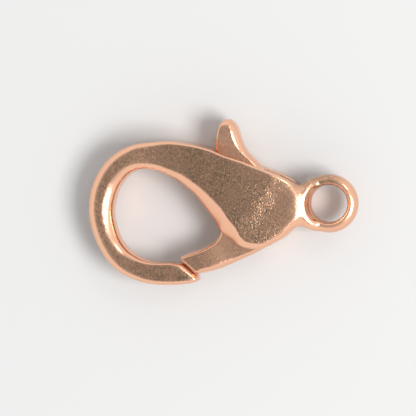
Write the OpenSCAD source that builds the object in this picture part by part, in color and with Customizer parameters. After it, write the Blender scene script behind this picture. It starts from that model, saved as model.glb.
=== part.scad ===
// Lobster clasp: a cast hook with a hollow belly and an eye, and a sprung lever
// on a rivet pin that closes the hook. It lies on its back on z = 0 with the
// pivot on the Z axis, the hook towards -X, the eye towards +X and the thumb
// tab towards +Y.

/* [Overall] */
// Length from the far side of the hook to the far side of the eye
clasp_len = 27; // [24:0.5:32]
// Height of the hook across its two arms, without the thumb tab
hook_h = 14.3; // [13:0.1:17]
// How far the hook's middle line lies above the pivot
hook_up = 0.2; // [0:0.05:0.5]

/* [Hook] */
// Width of the hook's arm, seen from the front
arm_w = 2.45; // [2:0.05:3]
// Thickness of the hook's arm, front to back
arm_t = 2.9; // [2.5:0.1:3.6]
// Gap between the hook's tip and the end of the gate
tip_gap = 0.15; // [0.1:0.05:0.4]

/* [Belly] */
// Width of the belly at its widest, seen from the front
belly_w = 8; // [7.2:0.1:9]
// Thickness of the belly between its flat faces
belly_t = 5; // [4.4:0.1:6]

/* [Eye] */
// Distance from the pivot to the middle of the eye, along the clasp
eye_reach = 6.8; // [6.4:0.05:8]
// How far the middle of the eye lies above the pivot
eye_up = 1.25; // [0.8:0.05:1.6]
// Diameter of the eye's hole
eye_bore_d = 3.65; // [3:0.05:4.2]
// Width of the eye's rim, seen from the front
rim_w = 1.08; // [0.9:0.02:1.4]
// Thickness of the eye's rim, front to back
rim_t = 2.2; // [1.6:0.1:2.6]
// Length of the straight wall in the eye's hole
rim_land = 1; // [0.6:0.1:1.2]

/* [Lever] */
// Thickness of the lever, front to back
lever_t = 2.2; // [1.8:0.1:2.6]
// Width of the gate that closes the hook
gate_w = 2.55; // [2.1:0.05:2.8]
// Width of the thumb tab where it leaves the belly
tab_w = 2.6; // [2.2:0.05:3]
// Height of the thumb tab above the belly
tab_h = 2.9; // [2.2:0.1:4]
// Width of the rounded edges at the gate's end
lever_edge = 0.3; // [0.15:0.05:0.5]
// How far the lever turns to open the hook, in degrees
swing = 35; // [20:1:36]

/* [Pin] */
// Diameter of the rivet pin
pin_d = 1.2; // [1:0.1:1.5]
// Wall that the front cheek keeps over the pin's blind end
pin_cover = 0.5; // [0.3:0.1:0.8]

/* [Spring] */
// Outer diameter of the coil spring
spring_d = 1.2; // [1:0.1:1.4]
// Diameter of the spring's wire
wire_d = 0.2; // [0.15:0.05:0.3]
// Number of turns in the spring
turns = 4; // [3:1:5]
// How far the spring's middle line lies above the pivot
spring_up = 2.15; // [2:0.05:2.6]
// Depth of the spring's pocket in the belly's wall
pocket_depth = 0.6; // [0.3:0.1:0.9]

/* [Fits] */
// Gap between the lever and each cheek
side_gap = 0.1; // [0.05:0.05:0.2]
// Gap between the lever and the ends of its slot
end_gap = 0.12; // [0.08:0.01:0.25]
// Radial gap between the pin and the lever
pin_play = 0.04; // [0.02:0.01:0.08]
// Radial gap between the pin and the cheeks
pin_seat = 0.02; // [0.01:0.01:0.04]
// Radial gap between the spring and its pocket
pocket_play = 0.08; // [0.05:0.01:0.15]

/* [Hidden] */

mid_z = belly_t / 2;
eye_bore_r = eye_bore_d / 2;
slot_w = lever_t + 2 * side_gap;
// From the pivot to the far side of the hook, and to the near wall of the eye
hook_reach = clasp_len - eye_reach - eye_bore_r - rim_w;
neck_reach = eye_reach - eye_bore_r;
hook_len = hook_reach - belly_w / 2;
// How far the middle of the hook's front stands proud of its edges
crown = 0.03;
// Steps of the smooth curve between two rows of a table
body_steps = 4;
lever_steps = 2;
// Bevels on the hook's tip and on the ends of the lever
tip_bevel = 0.32;
lever_bevel = 0.15;
overrun = 1;

// Each row is a cut across the hook, from its outer edge to its inner edge.
// along: share of the hook's length beyond the belly; up: share of half hook_h;
// lean: direction of the cut; wide, out_edge, in_edge: shares of arm_w;
// thick: share of arm_t
hook_rows = [
    // along, up, lean, wide, thick, out_edge, in_edge
    [0.166, -0.940, 140, 1.09, 0.90, 0.20, 0.10],
    [0.225, -0.972, 131, 1.07, 0.97, 0.20, 0.09],
    [0.315, -0.993, 118, 1.00, 0.98, 0.20, 0.09],
    [0.430, -1.000, 100, 0.91, 0.98, 0.20, 0.09],
    [0.543, -0.983, 81, 0.88, 0.98, 0.21, 0.11],
    [0.650, -0.930, 64, 0.89, 0.98, 0.24, 0.16],
    [0.755, -0.840, 51, 0.93, 0.98, 0.27, 0.24],
    [0.850, -0.690, 36, 0.93, 0.99, 0.31, 0.33],
    [0.928, -0.468, 18, 0.94, 1.00, 0.33, 0.38],
    [0.980, -0.210, 4, 0.98, 1.00, 0.34, 0.41],
    [1.000, 0.042, -6, 1.00, 1.00, 0.34, 0.42],
    [0.985, 0.294, -18, 1.03, 1.01, 0.34, 0.41],
    [0.936, 0.525, -27, 1.02, 1.06, 0.32, 0.39],
    [0.860, 0.720, -39, 1.02, 1.15, 0.29, 0.35],
    [0.762, 0.863, -53, 1.01, 1.28, 0.26, 0.28],
    [0.650, 0.951, -69, 1.05, 1.44, 0.20, 0.24],
    [0.528, 0.986, -86, 1.08, 1.61, 0.16, 0.22],
];

// The top arm where it widens into the belly. along and up are as above;
// wide, out_edge and in_edge are shares of belly_w; thick: share of belly_t
shoulder_rows = [
    // along, up, lean, wide, thick, out_edge, in_edge
    [0.407, 1.000, -100, 0.37, 1.01, 0.040, 0.075],
    [0.287, 0.983, -110, 0.43, 1.02, 0.035, 0.090],
    [0.166, 0.945, -119, 0.49, 1.02, 0.032, 0.104],
    [0.053, 0.888, -124, 0.56, 1.02, 0.030, 0.116],
];

// The belly, from its top edge to its lower edge, and the neck down to the
// eye. along: share of belly_w left of the pivot and of neck_reach right of
// it; up: share of belly_w; wide, out_edge and in_edge: shares of belly_w;
// thick: share of belly_t
belly_rows = [
    // along, up, lean, wide, thick, out_edge, in_edge
    [-0.412, 0.746, -127, 0.62, 1.02, 0.030, 0.130],
    [-0.238, 0.691, -127, 0.73, 1.02, 0.030, 0.160],
    [-0.062, 0.622, -127, 0.84, 1.02, 0.030, 0.188],
    [0.142, 0.567, -127, 0.955, 1.02, 0.030, 0.205],
    [0.345, 0.522, -126, 0.985, 1.00, 0.032, 0.158],
    [0.508, 0.478, -122, 1.01, 0.956, 0.035, 0.098],
    [0.600, 0.447, -112, 0.913, 0.931, 0.040, 0.080],
    [0.640, 0.434, -107, 0.808, 0.920, 0.046, 0.080],
    [0.672, 0.423, -100, 0.700, 0.911, 0.056, 0.085],
    [0.702, 0.412, -93, 0.580, 0.903, 0.075, 0.090],
    [0.745, 0.397, -90, 0.535, 0.890, 0.100, 0.105],
    [0.785, 0.384, -90, 0.509, 0.870, 0.120, 0.120],
    [0.820, 0.390, -90, 0.510, 0.845, 0.130, 0.130],
    [0.880, 0.412, -90, 0.540, 0.795, 0.130, 0.130],
    [0.938, 0.435, -90, 0.580, 0.740, 0.110, 0.110],
    [1.070, 0.478, -90, 0.655, 0.590, 0.085, 0.085],
    [1.210, 0.490, -90, 0.678, 0.400, 0.085, 0.085],
];

// The gate, from beside the hook's tip to the belly's mouth, as cuts from its
// inner edge to its outer edge. along and up are as in hook_rows; wide, in_edge
// and out_edge: shares of gate_w; thick: share of lever_t
gate_rows = [
    // along, up, lean, wide, thick, in_edge, out_edge
    [0.242, -0.560, -47, 0.99, 1.26, 0.12, 0.20],
    [0.166, -0.510, -51, 1.01, 1.25, 0.12, 0.20],
    [0.092, -0.446, -51, 1.05, 1.16, 0.12, 0.20],
    [0.034, -0.368, -45, 1.17, 1.00, 0.12, 0.18],
];

// The lever inside the belly, from its edge at the slot's closed end to the
// outside of its hub. along, up, wide and the edges: shares of belly_w
hub_rows = [
    // along, up, lean, wide, thick, in_edge, out_edge
    [-0.508, -0.232, -37, 0.45, 1.00, 0.035, 0.050],
    [-0.496, -0.134, -31, 0.575, 1.00, 0.035, 0.040],
    [-0.489, -0.036, -25, 0.69, 1.00, 0.035, 0.035],
    [-0.488, 0.062, -16, 0.72, 1.00, 0.035, 0.035],
    [-0.488, 0.150, -9, 0.71, 1.00, 0.035, 0.035],
    [-0.488, 0.225, -6, 0.60, 1.00, 0.035, 0.035],
    [-0.491, 0.312, -5, 0.585, 1.00, 0.035, 0.035],
    [-0.500, 0.438, -5, 0.585, 1.00, 0.035, 0.035],
    [-0.519, 0.588, -5, 0.575, 1.00, 0.035, 0.050],
];

// The thumb tab. along: share of tab_w from the belly's mouth; up: share of
// tab_h from the belly's top edge; wide and the edges: shares of tab_w; thick:
// share of lever_t
tab_rows = [
    // along, up, lean, wide, thick, in_edge, out_edge
    [-0.17, -0.20, -8, 1.56, 1.00, 0.10, 0.20],
    [-0.20, 0.02, -9, 1.33, 1.00, 0.10, 0.24],
    [-0.20, 0.20, -6, 1.12, 1.09, 0.10, 0.26],
    [-0.18, 0.40, -2, 0.96, 1.22, 0.10, 0.26],
    [-0.13, 0.63, 1, 0.82, 1.30, 0.10, 0.24],
    [-0.05, 0.84, 3, 0.63, 1.20, 0.10, 0.20],
    [0.08, 0.97, 3, 0.37, 0.92, 0.08, 0.12],
];

// A station is a cut in millimetres: x, y, lean, width, thickness and the
// widths of its two edges
function hook_place(along, up) = [-belly_w / 2 - along * hook_len, hook_up + up * hook_h / 2];
function belly_place(along, up) = [along * (along < 0 ? belly_w : neck_reach), up * belly_w];
function tab_place(along, up) = [along * tab_w - belly_w / 2, tab_root + up * tab_h];
function station(place, row, width, thickness, edges) =
    concat(place, [row[2], row[3] * width, row[4] * thickness], edges);

hook_stations = [for (r = hook_rows)
    station(hook_place(r[0], r[1]), r, arm_w, arm_t, [r[5], r[6]] * arm_w)];
shoulder_stations = [for (r = shoulder_rows)
    station(hook_place(r[0], r[1]), r, belly_w, belly_t, [r[5], r[6]] * belly_w)];
belly_stations = [for (r = belly_rows)
    station(belly_place(r[0], r[1]), r, belly_w, belly_t, [r[5], r[6]] * belly_w)];
body_stations = concat(hook_stations, shoulder_stations, belly_stations);

tab_root = shoulder_stations[len(shoulder_stations) - 1][1];
tip = hook_stations[0];
// The gate's end lies beside the hook's tip, a gap away. Its inner corner
// stands past the hook's inner edge, and its outer corner stops short
gate_past = 0.12 * arm_w;
gate_short = 0.15 * arm_w;
gate_end_lean = tip[2] - 180;
across_gate = [cos(gate_end_lean), sin(gate_end_lean)];
along_gate = [-sin(gate_end_lean), cos(gate_end_lean)];
gate_end_inner = cut_end(tip) + (tip_bevel + tip_gap + lever_bevel) * along_gate
    - gate_past * across_gate;
gate_end = concat(gate_end_inner,
    [gate_end_lean, tip[3] + gate_past - gate_short, tip[4], lever_edge, lever_edge]);
lever_stations = concat(
    [gate_end],
    [for (r = gate_rows) station(hook_place(r[0], r[1]), r, gate_w, lever_t, [r[5], r[6]] * gate_w)],
    [for (r = hub_rows) station([r[0], r[1]] * belly_w, r, belly_w, lever_t, [r[5], r[6]] * belly_w)],
    [for (r = tab_rows) station(tab_place(r[0], r[1]), r, tab_w, lever_t, [r[5], r[6]] * tab_w)]);

// The two ends of a station's cut
function cut_start(s) = [s[0], s[1]];
function cut_end(s) = cut_start(s) + s[3] * [cos(s[2]), sin(s[2])];

// A smooth curve through rows of numbers, in steps between each two rows
function between(a, b, c, d, t) =
    b + t / 2 * (c - a + t * (2 * a - 5 * b + 4 * c - d + t * (3 * (b - c) + d - a)));
function row_at(rows, i) = rows[max(0, min(len(rows) - 1, i))];
function smooth(rows, steps) = concat(
    [for (i = [0 : len(rows) - 2], k = [0 : steps - 1])
        between(row_at(rows, i - 1), rows[i], rows[i + 1], row_at(rows, i + 2), k / steps)],
    [rows[len(rows) - 1]]);

// A station set in from its edges by inset and moved ahead along the piece
function tapered(s, inset, ahead) = concat(
    cut_start(s) + inset * [cos(s[2]), sin(s[2])] + ahead * [-sin(s[2]), cos(s[2])],
    [s[2], s[3] - 2 * inset, s[4] - 2 * inset, s[5], s[6]]);

// Half of a cut's outline over its front, as [across, height] points: an
// upright wall, an edge between a bevel and an arc, a crowned face, and back.
// No point stands above top, so the belly's faces come out flat
edge_shares = [0, 0.25, 0.5, 0.75, 1];
function edge_point(share, edge, low, high, round) =
    let (bevel = [share, share], arc = [1 - cos(90 * share), sin(90 * share)],
         p = bevel + round * (arc - bevel))
    [p[0] * edge, low + p[1] * (high - low)];
function half_cut(s, wall, shape, crown, top) =
    let (w = s[3], high = s[4] / 2, room = min(1, 0.96 * w / (s[5] + s[6])),
         out_edge = room * s[5], in_edge = room * s[6],
         out_low = max(wall, high - shape[1] * out_edge), in_low = max(wall, high - shape[1] * in_edge),
         rise = [for (f = edge_shares) edge_point(f, out_edge, out_low, high, shape[0])],
         fall = [for (k = [len(edge_shares) - 1 : -1 : 0])
             let (p = edge_point(edge_shares[k], in_edge, in_low, high, shape[0])) [w - p[0], p[1]]],
         face = [[(w + out_edge - in_edge) / 2, high + crown]])
    [for (p = concat(rise, face, fall)) [p[0], min(top, p[1])]];

// How high the upright wall of a cut reaches from its middle, and the shape of
// its edges: how round they are, from a bevel at 0 to an arc at 1, and the most
// that they rise over their width. The hook's wall is low and its edges are
// round; the belly's wall reaches past the slot, so that each cheek is square to
// the lever, and its edges are nearly bevels
wall_share = 0.2;
cheek_wall = slot_w / 2 + 0.15;
hook_shape = [0.6, 0.75];
belly_shape = [0.12, 0.75];
lever_shape = [0.4, 4];
function fullness(s) =
    max(0, min(1, (s[4] - arm_t) / (belly_t - arm_t)));
function body_wall(s) =
    wall_share * s[4] / 2 + fullness(s) * (cheek_wall - wall_share * belly_t / 2);
function body_shape(s) = hook_shape + fullness(s) * (belly_shape - hook_shape);
function lever_wall(s) = s[4] / 4;

// A solid through stations, with triangles between neighbouring cuts
module loft(stations, walls, shapes, crown, top) {
    cuts = [for (i = [0 : len(stations) - 1])
        let (s = stations[i], half = half_cut(s, walls[i], shapes[i], crown, top), n = len(half),
             loop = concat(half, [for (k = [n - 1 : -1 : 0]) [half[k][0], -half[k][1]]]))
        [for (p = loop) [s[0] + p[0] * cos(s[2]), s[1] + p[0] * sin(s[2]), mid_z + p[1]]]];
    n = len(cuts[0]);
    last = len(cuts) - 1;
    polyhedron(
        points = [for (cut = cuts, p = cut) p],
        faces = concat(
            [for (i = [0 : last - 1], j = [0 : n - 1], half = [0, 1])
                let (a = i * n + j, b = i * n + (j + 1) % n, c = b + n, d = a + n)
                half == 0 ? [a, d, c] : [a, c, b]],
            [for (j = [1 : n - 2]) [0, j, j + 1]],
            [for (j = [1 : n - 2]) [last * n, last * n + j + 1, last * n + j]]));
}

function turned(p, angle) = [p[0] * cos(angle) - p[1] * sin(angle), p[0] * sin(angle) + p[1] * cos(angle)];

// The slot between the cheeks follows the lever: its closed edge and its hub
// at rest, the gate's inner edge swung open, and the furthest that its back
// edge swings
lever_curve = smooth(lever_stations, lever_steps);
lever_top = tab_root + tab_h;
wall_low = 0.19 * belly_w;
rest_wall = [for (i = [len(lever_curve) - 1 : -1 : 0])
    let (p = cut_start(lever_curve[i])) if (p[1] > wall_low) p - [end_gap, 0]];
rest_hub = [for (s = lever_curve)
    let (p = cut_end(s)) if (p[0] > 0 && p[1] < 0.1 * belly_w) p + [end_gap, -end_gap]];
mouth_row = len(gate_rows) + 1;
swung_gate = [for (i = [mouth_row : -1 : mouth_row - 3])
    turned(cut_start(lever_stations[i]), -swing) + [-end_gap, end_gap]];
swung_back = max([for (s = lever_curve) turned(cut_end(s), -swing)[0]]);
slot_back = swung_back + end_gap;
mouth_flare = 0.3;
slot_outline = concat(
    [[rest_wall[0][0], lever_top + overrun]],
    rest_wall,
    swung_gate,
    [[-0.71 * belly_w, -0.3 * hook_h],
     [-0.68 * belly_w, -hook_h],
     [rest_hub[0][0], -hook_h]],
    rest_hub,
    [[slot_back, spring_up - spring_d / 2 - pocket_play - end_gap],
     [slot_back, 0.42 * belly_w],
     [slot_back + mouth_flare, 0.5 * belly_w],
     [slot_back + mouth_flare, lever_top + overrun]]);

// The spring runs from the lever's outside to the end of its pocket
spring_start = max([for (s = lever_curve)
    let (p = cut_end(s)) if (p[1] > spring_up - spring_d / 2 && p[1] < spring_up + spring_d) p[0]]);
spring_end = slot_back + pocket_depth;

// The eye's rim before its hole is cut: a rounded outer side, its crest a
// little nearer the hole
module eye_rim() {
    outer_w = 0.66 * rim_w;
    rotate_extrude($fn = 96)
        polygon(concat(
            [[eye_bore_r - hole_trim, rim_t / 2]],
            [for (a = [90 : -15 : -90])
                [eye_bore_r + rim_w - outer_w + outer_w * cos(a), rim_t / 2 * sin(a)]],
            [[eye_bore_r - hole_trim, -rim_t / 2]]));
}

// What the eye's hole removes: a straight land that flares to both faces.
// hole_trim is how far the rim reaches into it before it is cut
hole_trim = 0.1;
hole_flare = 0.3 * rim_w;
module eye_hole() {
    flare_low = rim_land / 2;
    flare_high = rim_t / 2 + hole_trim;
    far = belly_t;
    half = [[eye_bore_r, flare_low],
            [eye_bore_r + 0.3 * hole_flare, 0.6 * flare_high + 0.4 * flare_low],
            [eye_bore_r + hole_flare, flare_high],
            [eye_bore_r + 2 * hole_flare, far]];
    rotate_extrude($fn = 96)
        polygon(concat(
            [[0, far]],
            [for (i = [3 : -1 : 0]) half[i]],
            [for (p = half) [p[0], -p[1]]],
            [[0, -far]]));
}

module body() {
    curve = smooth(body_stations, body_steps);
    cuts = concat([tapered(curve[0], tip_bevel, -tip_bevel)], curve);
    color([0.72, 0.54, 0.43])
    difference() {
        union() {
            loft(cuts, [for (s = cuts) body_wall(s)], [for (s = cuts) body_shape(s)],
                 crown, belly_t / 2);
            translate([eye_reach, eye_up, mid_z]) eye_rim();
        }
        translate([0, 0, mid_z - slot_w / 2])
            linear_extrude(slot_w) polygon(slot_outline);
        translate([eye_reach, eye_up, mid_z]) eye_hole();
        translate([0, 0, -overrun])
            cylinder(d = pin_d + 2 * pin_seat, h = overrun + belly_t - pin_cover, $fn = 48);
        translate([slot_back - pocket_depth / 2, spring_up, mid_z]) rotate([0, 90, 0])
            cylinder(d = spring_d + 2 * pocket_play, h = 1.5 * pocket_depth + pocket_play, $fn = 48);
    }
}

module lever() {
    last = lever_curve[len(lever_curve) - 1];
    cuts = concat([tapered(lever_curve[0], lever_bevel, -lever_bevel)], lever_curve,
                  [tapered(last, lever_bevel, lever_bevel)]);
    color([0.76, 0.57, 0.45])
    difference() {
        loft(cuts, [for (s = cuts) lever_wall(s)], [for (s = cuts) lever_shape],
             0, belly_t / 2);
        cylinder(d = pin_d + 2 * pin_play, h = belly_t, $fn = 48);
    }
}

// The rivet's open end is flush with the back
module pin() {
    color([0.70, 0.52, 0.42])
    cylinder(d = pin_d, h = belly_t - pin_cover - pin_seat, $fn = 48);
}

// The coil spring, its middle line along X, with a closed turn at each end
module spring() {
    sides = 6;
    per_turn = 14;
    coil_r = (spring_d - wire_d) / 2;
    rings = turns * per_turn;
    room = spring_end - spring_start - wire_d - 2 * pocket_play;
    circles = [for (i = [0 : rings])
        let (a = 360 * i / per_turn, x = spring_start + pocket_play + wire_d / 2 + room * i / rings)
        [for (j = [0 : sides - 1])
            let (b = 360 * j / sides, r = coil_r + wire_d / 2 * cos(b))
            [x + wire_d / 2 * sin(b), spring_up + r * cos(a), mid_z + r * sin(a)]]];
    color([0.75, 0.75, 0.76])
    polyhedron(
        points = [for (c = circles, p = c) p],
        faces = concat(
            [for (i = [0 : rings - 1], j = [0 : sides - 1], half = [0, 1])
                let (a = i * sides + j, b = i * sides + (j + 1) % sides, c = b + sides, d = a + sides)
                half == 0 ? [a, c, d] : [a, b, c]],
            [for (j = [1 : sides - 2]) [0, j + 1, j]],
            [for (j = [1 : sides - 2]) [rings * sides, rings * sides + j, rings * sides + j + 1]]));
}

body();
lever();
pin();
spring();
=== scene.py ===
import math

import bmesh
import bpy
from mathutils import Matrix, Vector


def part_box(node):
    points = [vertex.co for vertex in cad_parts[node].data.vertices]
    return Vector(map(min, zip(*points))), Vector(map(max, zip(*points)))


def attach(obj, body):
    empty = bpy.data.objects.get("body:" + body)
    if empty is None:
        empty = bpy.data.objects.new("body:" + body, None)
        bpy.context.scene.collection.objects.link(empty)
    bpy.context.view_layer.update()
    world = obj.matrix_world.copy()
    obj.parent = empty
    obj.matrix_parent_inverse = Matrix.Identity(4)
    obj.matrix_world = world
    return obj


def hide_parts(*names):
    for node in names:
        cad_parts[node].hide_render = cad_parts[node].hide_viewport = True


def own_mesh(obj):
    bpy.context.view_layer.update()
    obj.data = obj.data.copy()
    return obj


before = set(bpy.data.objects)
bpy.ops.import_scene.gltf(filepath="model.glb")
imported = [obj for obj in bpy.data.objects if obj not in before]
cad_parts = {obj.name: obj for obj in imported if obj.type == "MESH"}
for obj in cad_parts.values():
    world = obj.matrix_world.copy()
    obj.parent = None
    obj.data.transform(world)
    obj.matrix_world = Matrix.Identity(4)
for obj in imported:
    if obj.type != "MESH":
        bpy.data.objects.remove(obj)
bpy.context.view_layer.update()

# The body is one zinc casting, plated with copper: the hook, the two cheeks of
# the belly with the slot between them, the neck and the eye. The mould's edges
# are tumbled round, so the casting's own faces are worked finer and softened.
MM = 0.001
MIDDLE_Z = 2.5 * MM
# The size of the finer faces, in millimetres, and how often they are softened
BODY_VOXEL = 0.1
BODY_SOFTENING = 7
# The neck and its run into the eye's rim are rubbed more, outside of the core
NECK = (0.8 * MM, 4.8 * MM)
NECK_CORE = 1.3 * MM
NECK_END = (4.6 * MM, 6.6 * MM)
NECK_END_CORE = 0.8 * MM
NECK_RUBS = 18
BRIGHT_COPPER = (0.88, 0.50, 0.33, 1)
TARNISH_AND_SHADE_COPPER = (0.24, 0.166, 0.105, 1)


def placed(name, data):
    """A new object in the scene."""
    piece = bpy.data.objects.new(name, data)
    bpy.context.scene.collection.objects.link(piece)
    return piece


def tumbled_casting(node, name, voxel, softening):
    """A closer, softer skin over a cast node, worked in millimetres."""
    rough = bmesh.new()
    rough.from_mesh(node.data)
    bmesh.ops.remove_doubles(rough, verts=rough.verts, dist=1e-7)
    bmesh.ops.scale(rough, vec=(1 / MM, 1 / MM, 1 / MM), verts=rough.verts)
    mesh = bpy.data.meshes.new(name + "_rough")
    rough.to_mesh(mesh)
    rough.free()
    blank = placed(name + "_rough", mesh)
    close = blank.modifiers.new("close", "REMESH")
    close.mode = "VOXEL"
    close.voxel_size = voxel
    tumble = blank.modifiers.new("tumble", "SMOOTH")
    tumble.factor = 0.5
    tumble.iterations = softening
    bpy.context.view_layer.update()
    worked = blank.evaluated_get(bpy.context.evaluated_depsgraph_get())
    skin = bmesh.new()
    skin.from_mesh(worked.data)
    bpy.data.objects.remove(blank)
    bmesh.ops.scale(skin, vec=(MM, MM, MM), verts=skin.verts)
    for face in skin.faces:
        face.smooth = True
    mesh = bpy.data.meshes.new(name)
    skin.to_mesh(mesh)
    skin.free()
    return placed(name, mesh)


def rubbed_soft(piece, low, high, half_core, rounds):
    """Rubs the outside of a casting softer between two places along it, and most
    of all midway. The half_core nearest to its middle plane is left alone."""
    skin = bmesh.new()
    skin.from_mesh(piece.data)
    midway = (low + high) / 2
    for turn in range(rounds):
        reach = (high - low) / 2 * (1 - turn / rounds)
        near = [v for v in skin.verts
                if abs(v.co.x - midway) < reach and abs(v.co.z - MIDDLE_Z) > half_core]
        bmesh.ops.smooth_vert(
            skin, verts=near, factor=0.5, use_axis_x=True, use_axis_y=True, use_axis_z=True)
    skin.to_mesh(piece.data)
    skin.free()


def feed(tree, target, value):
    """Gives a node's input a plain value, or what another node puts out."""
    if isinstance(value, bpy.types.NodeSocket):
        tree.links.new(value, target)
    else:
        target.default_value = value


def maths(tree, operation, *values):
    node = tree.nodes.new("ShaderNodeMath")
    node.operation = operation
    for target, value in zip(node.inputs, values):
        feed(tree, target, value)
    return node.outputs["Value"]


def times(tree, first, *others):
    product = first
    for other in others:
        product = maths(tree, "MULTIPLY", product, other)
    return product


def ramp(tree, value, start=0.0, end=1.0, first=0.0, last=1.0, curve="SMOOTHSTEP"):
    """Goes from first to last as the value goes from start to end."""
    node = tree.nodes.new("ShaderNodeMapRange")
    node.interpolation_type = curve
    feed(tree, node.inputs["Value"], value)
    feed(tree, node.inputs["From Min"], start)
    feed(tree, node.inputs["From Max"], end)
    feed(tree, node.inputs["To Min"], first)
    feed(tree, node.inputs["To Max"], last)
    return node.outputs["Result"]


def noise(tree, vector, scale, detail, roughness=0.5, distortion=0.0):
    node = tree.nodes.new("ShaderNodeTexNoise")
    feed(tree, node.inputs["Vector"], vector)
    feed(tree, node.inputs["Scale"], scale)
    feed(tree, node.inputs["Detail"], detail)
    feed(tree, node.inputs["Roughness"], roughness)
    feed(tree, node.inputs["Distortion"], distortion)
    return node.outputs["Fac"]


def cast_grain():
    """The skin of a tumbled casting: its open flat faces keep a worm-like grain
    of pits, and its edges and slopes are rubbed smooth."""
    group = bpy.data.node_groups.new("cast_grain", "ShaderNodeTree")
    for name in ("Grain per mm", "Least grain", "Dull left of", "Rubbed and lit right of", "Film left where lit"):
        group.interface.new_socket(name=name, in_out="INPUT", socket_type="NodeSocketFloat")
    for name in ("Height", "Low places", "Open faces", "Dull and shaded places"):
        group.interface.new_socket(name=name, in_out="OUTPUT", socket_type="NodeSocketFloat")
    entry = group.nodes.new("NodeGroupInput")
    leave = group.nodes.new("NodeGroupOutput")
    place = group.nodes.new("ShaderNodeTexCoord")
    along = group.nodes.new("ShaderNodeSeparateXYZ")
    feed(group, along.inputs["Vector"], place.outputs["Object"])

    # Open faces are those that look straight to the front or the back
    facing = group.nodes.new("ShaderNodeSeparateXYZ")
    feed(group, facing.inputs["Vector"], place.outputs["Normal"])
    either_way = maths(group, "ABSOLUTE", facing.outputs["Z"])
    open_face = ramp(group, either_way, start=0.90, end=0.985)
    feed(group, leave.inputs["Open faces"], open_face)

    # The grain is a little longer up and down the clasp than along it
    stretch = group.nodes.new("ShaderNodeMapping")
    stretch.inputs["Rotation"].default_value = (0, 0, math.radians(12))
    stretch.inputs["Scale"].default_value = (1000, 700, 1000)
    feed(group, stretch.inputs["Vector"], place.outputs["Object"])
    in_mm = stretch.outputs["Vector"]
    worms = noise(group, in_mm, entry.outputs["Grain per mm"], detail=3, roughness=0.7, distortion=0.25)
    spread = ramp(group, worms, start=0.34, end=0.66, curve="LINEAR")

    # It is stronger in some patches and over the belly, and weak on the eye
    patches = noise(group, in_mm, 0.7, detail=2)
    coarse = ramp(group, patches, start=0.38, end=0.62, first=entry.outputs["Least grain"], curve="LINEAR")
    belly = ramp(group, along.outputs["X"], start=-7 * MM, end=-1 * MM, first=0.5)
    worn = ramp(group, along.outputs["X"], start=2.2 * MM, end=4.5 * MM, first=1.0, last=0.25)
    strength = times(group, coarse, belly, worn, open_face)
    feed(group, leave.inputs["Height"], times(group, spread, strength))
    deep = maths(group, "SUBTRACT", 1.0, spread)
    feed(group, leave.inputs["Low places"], times(group, deep, strength))

    # The brown film is uneven and thinner towards the hook's far side, and almost worn off the eye. It is
    # also painted thinner to the right: painted light, where the faces turn towards the lamp.
    rubbed_and_lit = ramp(group, along.outputs["X"], start=entry.outputs["Dull left of"],
                  end=entry.outputs["Rubbed and lit right of"], first=1.0, last=entry.outputs["Film left where lit"])
    clouds = noise(group, in_mm, 4.2, detail=3, roughness=0.95)
    uneven = ramp(group, clouds, start=0.38, end=0.62, first=0.35, last=1.2, curve="LINEAR")
    hook_side = ramp(group, along.outputs["X"], start=-11 * MM, end=-6 * MM, first=0.8, last=1.05)
    film_and_painted_light = times(group, rubbed_and_lit, hook_side, worn, uneven, open_face)

    # The eye's upper side, turned away from the lamp, gets painted shade in the film's colour
    past_neck = ramp(group, along.outputs["X"], start=2.9 * MM, end=4.0 * MM)
    before_end = ramp(group, along.outputs["X"], start=6.6 * MM, end=8.8 * MM, first=1.0, last=0.0)
    upper_side = ramp(group, along.outputs["Y"], start=2.3 * MM, end=3.3 * MM)
    painted_rim_shade = times(group, past_neck, before_end, upper_side, uneven)
    feed(group, leave.inputs["Dull and shaded places"], maths(group, "MAXIMUM", film_and_painted_light, painted_rim_shade))
    return group


def plated_copper(name, grain, least_grain, depth, film_and_painted_light, film_and_light_ends, film_left_where_lit, tarnish, edge_rough,
                  face_rough):
    """Copper plating: bright on the rubbed edges, under a brown film and a little
    rougher on the open faces, and browner in the grain's low places. The film is
    painted thinner to the right as painted light, and its colour also lays
    painted shade on the eye's upper side."""
    finish = bpy.data.materials.new(name)
    finish.use_nodes = True
    tree = finish.node_tree
    metal = tree.nodes["Principled BSDF"]
    metal.inputs["Metallic"].default_value = 1.0
    skin = tree.nodes.new("ShaderNodeGroup")
    skin.node_tree = bpy.data.node_groups.get("cast_grain") or cast_grain()
    skin.inputs["Grain per mm"].default_value = grain
    skin.inputs["Least grain"].default_value = least_grain
    skin.inputs["Dull left of"].default_value = film_and_light_ends[0]
    skin.inputs["Rubbed and lit right of"].default_value = film_and_light_ends[1]
    skin.inputs["Film left where lit"].default_value = film_left_where_lit
    # The film, the painted shade on the eye's upper side and the tarnish in the grain's low places draw
    # the copper towards the tarnish colour
    brown = maths(tree, "MULTIPLY", skin.outputs["Dull and shaded places"], film_and_painted_light)
    browner = maths(tree, "MULTIPLY_ADD", skin.outputs["Low places"], tarnish, brown)
    tone = tree.nodes.new("ShaderNodeMix")
    tone.data_type = "RGBA"
    feed(tree, tone.inputs["A"], BRIGHT_COPPER)
    feed(tree, tone.inputs["B"], TARNISH_AND_SHADE_COPPER)
    feed(tree, tone.inputs["Factor"], browner)
    feed(tree, metal.inputs["Base Color"], tone.outputs["Result"])
    sheen = ramp(tree, skin.outputs["Open faces"], first=edge_rough, last=face_rough, curve="LINEAR")
    feed(tree, metal.inputs["Roughness"], sheen)
    dent = tree.nodes.new("ShaderNodeBump")
    dent.inputs["Strength"].default_value = 1.0
    dent.inputs["Distance"].default_value = depth
    feed(tree, dent.inputs["Height"], skin.outputs["Height"])
    feed(tree, metal.inputs["Normal"], dent.outputs["Normal"])
    return finish


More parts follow.
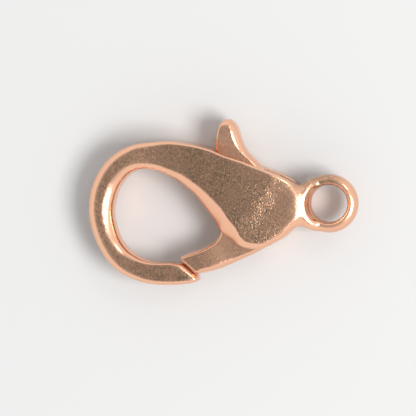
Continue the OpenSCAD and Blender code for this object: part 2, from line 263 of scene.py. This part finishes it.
body = tumbled_casting(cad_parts["body"], "body_casting", BODY_VOXEL, BODY_SOFTENING)
rubbed_soft(body, *NECK, NECK_CORE, NECK_RUBS)
rubbed_soft(body, *NECK_END, NECK_END_CORE, NECK_RUBS)
# The body's film is painted thinner towards the eye: painted light, where the belly's faces turn towards
# the lamp on the right
body.data.materials.append(plated_copper(
    "body_copper", grain=7.0, least_grain=0.35, depth=0.0125 * MM, film_and_painted_light=0.7, film_and_light_ends=(-6 * MM, 2 * MM),
    film_left_where_lit=0.64, tarnish=0.7, edge_rough=0.22, face_rough=0.27))
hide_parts("body")
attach(body, "body")

# The lever is a second casting of the same metal: the gate that closes the
# hook, the hub that the rivet goes through, and the thumb tab.
LEVER_VOXEL = 0.07
LEVER_SOFTENING = 7
lever = tumbled_casting(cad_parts["lever"], "lever_casting", LEVER_VOXEL, LEVER_SOFTENING)
# The lever's film is painted thinner towards the gate's right end and the tab: painted light, where those
# faces turn towards the lamp
lever.data.materials.append(plated_copper(
    "lever_copper", grain=6.0, least_grain=0.5, depth=0.012 * MM, film_and_painted_light=0.55,
    film_and_light_ends=(-6.5 * MM, -3.5 * MM), film_left_where_lit=0.35, tarnish=0.5, edge_rough=0.22, face_rough=0.28))
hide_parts("lever")
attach(lever, "lever")

# The rivet pin is pressed in from the back, and its end is flush with the
# cheek. It is the plated solid itself.
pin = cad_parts["pin"]
pin.data.materials.clear()
pin.data.materials.append(plated_copper(
    "pin_copper", grain=5.0, least_grain=0.6, depth=0.02 * MM, film_and_painted_light=0.5, film_and_light_ends=(-8 * MM, 2 * MM),
    film_left_where_lit=0.75, tarnish=0.5, edge_rough=0.25, face_rough=0.35))

# The coil spring is hard-drawn steel wire, and pushes the lever shut from its
# pocket in the belly. The ring that is spun lies along its way and not across
# it, so the coil comes out as a thin band of the wire's width.
WIRE_R = 0.1 * MM
WIRE_SIDES = 8
COIL_TURNS = 4
TURN_STEPS = 24
STEEL_GREY = (0.48, 0.46, 0.43, 1)
STEEL_ROUGH = 0.28
spring_low, spring_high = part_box("spring")
coil_r = (spring_high.y - spring_low.y) / 2 - WIRE_R
coil_y = (spring_high.y + spring_low.y) / 2
coil_z = (spring_high.z + spring_low.z) / 2
coil_length = spring_high.x - spring_low.x - 2 * WIRE_R
coil_steps = COIL_TURNS * TURN_STEPS
coil_start = (spring_low.x + WIRE_R, coil_y + coil_r, coil_z)
quarter_on_x = Matrix.Rotation(math.pi / 2, 3, "X")
quarter_on_z = Matrix.Rotation(math.pi / 2, 3, "Z")
wire = bmesh.new()
bmesh.ops.create_circle(wire, cap_ends=False, segments=WIRE_SIDES, radius=WIRE_R)
bmesh.ops.rotate(wire, cent=(0, 0, 0), matrix=quarter_on_x, verts=wire.verts)
bmesh.ops.rotate(wire, cent=(0, 0, 0), matrix=quarter_on_z, verts=wire.verts)
bmesh.ops.translate(wire, vec=coil_start, verts=wire.verts)
bmesh.ops.rotate(wire, cent=coil_start, matrix=quarter_on_z, verts=wire.verts)
bmesh.ops.spin(
    wire, geom=wire.edges[:], cent=(spring_low.x, coil_y, coil_z), axis=(1, 0, 0),
    dvec=(coil_length / coil_steps, 0, 0), angle=2 * math.pi * COIL_TURNS,
    steps=coil_steps, use_duplicate=False)
bmesh.ops.holes_fill(wire, edges=wire.edges[:], sides=0)
bmesh.ops.recalc_face_normals(wire, faces=wire.faces[:])
for face in wire.faces:
    face.smooth = True
coil_mesh = bpy.data.meshes.new("spring_coil")
wire.to_mesh(coil_mesh)
wire.free()
coil = placed("spring_coil", coil_mesh)
steel = bpy.data.materials.new("spring_steel")
steel.use_nodes = True
drawn = steel.node_tree.nodes["Principled BSDF"]
drawn.inputs["Metallic"].default_value = 1.0
drawn.inputs["Base Color"].default_value = STEEL_GREY
drawn.inputs["Roughness"].default_value = STEEL_ROUGH
coil.data.materials.append(steel)
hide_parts("spring")
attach(coil, "body")
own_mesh(coil)

# The clasp lies on a plain sheet of matt paper, which reaches far past the
# picture on every side.
PAPER_REACH = 0.6
PAPER_WHITE = (0.575, 0.575, 0.57, 1)
PAPER_ROUGH = 0.9
bench = bmesh.new()
bmesh.ops.create_grid(bench, x_segments=1, y_segments=1, size=PAPER_REACH)
bench_mesh = bpy.data.meshes.new("floor")
bench.to_mesh(bench_mesh)
bench.free()
floor = placed("floor", bench_mesh)
paper = bpy.data.materials.new("floor_paper")
paper.use_nodes = True
sheet = paper.node_tree.nodes["Principled BSDF"]
sheet.inputs["Base Color"].default_value = PAPER_WHITE
sheet.inputs["Roughness"].default_value = PAPER_ROUGH
floor.data.materials.append(paper)

# Soft studio light: a room that is dim overhead and bright low down, one wide
# lamp on the right, and a small weak one at the upper right that adds a glint.
# Their sizes and distance are in metres.
HORIZON_UP = 0.50
HORIZON_WHITE = (1.0, 1.0, 1.0, 1)
OVERHEAD_UP = 0.93
OVERHEAD_GREY = (0.47, 0.47, 0.48, 1)
LAMP_FAR = 0.9


def area_lamp(name, size, energy, high, turned):
    """A lamp that faces the clasp, so many degrees high and turned from +X."""
    data = bpy.data.lights.new(name, "AREA")
    data.size = size
    data.energy = energy
    high = math.radians(high)
    turned = math.radians(turned)
    way = Vector((math.cos(high) * math.cos(turned), math.cos(high) * math.sin(turned), math.sin(high)))
    lamp = placed(name, data)
    lamp.location = way * LAMP_FAR
    lamp.rotation_euler = way.to_track_quat("Z", "Y").to_euler()
    return data


world = bpy.data.worlds.new("studio")
bpy.context.scene.world = world
world.use_nodes = True
room = world.node_tree.nodes["Background"]
sky_place = world.node_tree.nodes.new("ShaderNodeTexCoord")
sky_split = world.node_tree.nodes.new("ShaderNodeSeparateXYZ")
sky_ramp = world.node_tree.nodes.new("ShaderNodeValToRGB")
feed(world.node_tree, sky_split.inputs["Vector"], sky_place.outputs["Generated"])
feed(world.node_tree, sky_ramp.inputs["Fac"], sky_split.outputs["Z"])
feed(world.node_tree, room.inputs["Color"], sky_ramp.outputs["Color"])
low_sky, high_sky = sky_ramp.color_ramp.elements
low_sky.position = HORIZON_UP
low_sky.color = HORIZON_WHITE
high_sky.position = OVERHEAD_UP
high_sky.color = OVERHEAD_GREY
room.inputs["Strength"].default_value = 1.0

softbox = area_lamp("softbox", size=0.42, energy=8.2, high=50, turned=-14)
softbox.shape = "RECTANGLE"
softbox.size_y = 0.33
area_lamp("glint_card", size=0.16, energy=0.45, high=48, turned=48)

# The camera looks down on the clasp, leaning 8 degrees towards the eye and
# 3 degrees towards the thumb tab.
LEAN_TO_EYE = math.radians(8)
LEAN_TO_TAB = math.radians(3)
CAMERA_FAR = 250 * MM
SENSOR = 36
# The picture's side and middle and the pivot's place in it, in pixels
PICTURE = 416
MIDDLE = 208
PIVOT_ACROSS = 261.2
PIVOT_DOWN = 215.5
PIXELS_PER_METRE = 10080
lean_right = math.sin(LEAN_TO_EYE)
lean_up = math.sin(LEAN_TO_TAB)
view_way = Vector((lean_right, lean_up, math.sqrt(1 - lean_right ** 2 - lean_up ** 2)))
view_right = Vector((0, 1, 0)).cross(view_way).normalized()
view_up = view_way.cross(view_right)
pivot = Vector((0, 0, MIDDLE_Z))
aim = (pivot + view_right * (MIDDLE - PIVOT_ACROSS) / PIXELS_PER_METRE
       + view_up * (PIVOT_DOWN - MIDDLE) / PIXELS_PER_METRE)
camera_data = bpy.data.cameras.new("camera")
camera_data.sensor_width = SENSOR
camera_data.lens = SENSOR * CAMERA_FAR * PIXELS_PER_METRE / PICTURE
camera_data.clip_start = 0.01
camera_data.clip_end = 10
camera = placed("camera", camera_data)
camera.location = pivot + view_way * CAMERA_FAR
back = (camera.location - aim).normalized()
side = view_up.cross(back).normalized()
turn = Matrix((side, back.cross(side), back)).transposed().to_4x4()
camera.matrix_world = Matrix.Translation(camera.location) @ turn
bpy.context.scene.camera = camera
bpy.context.scene.view_settings.view_transform = "Standard"
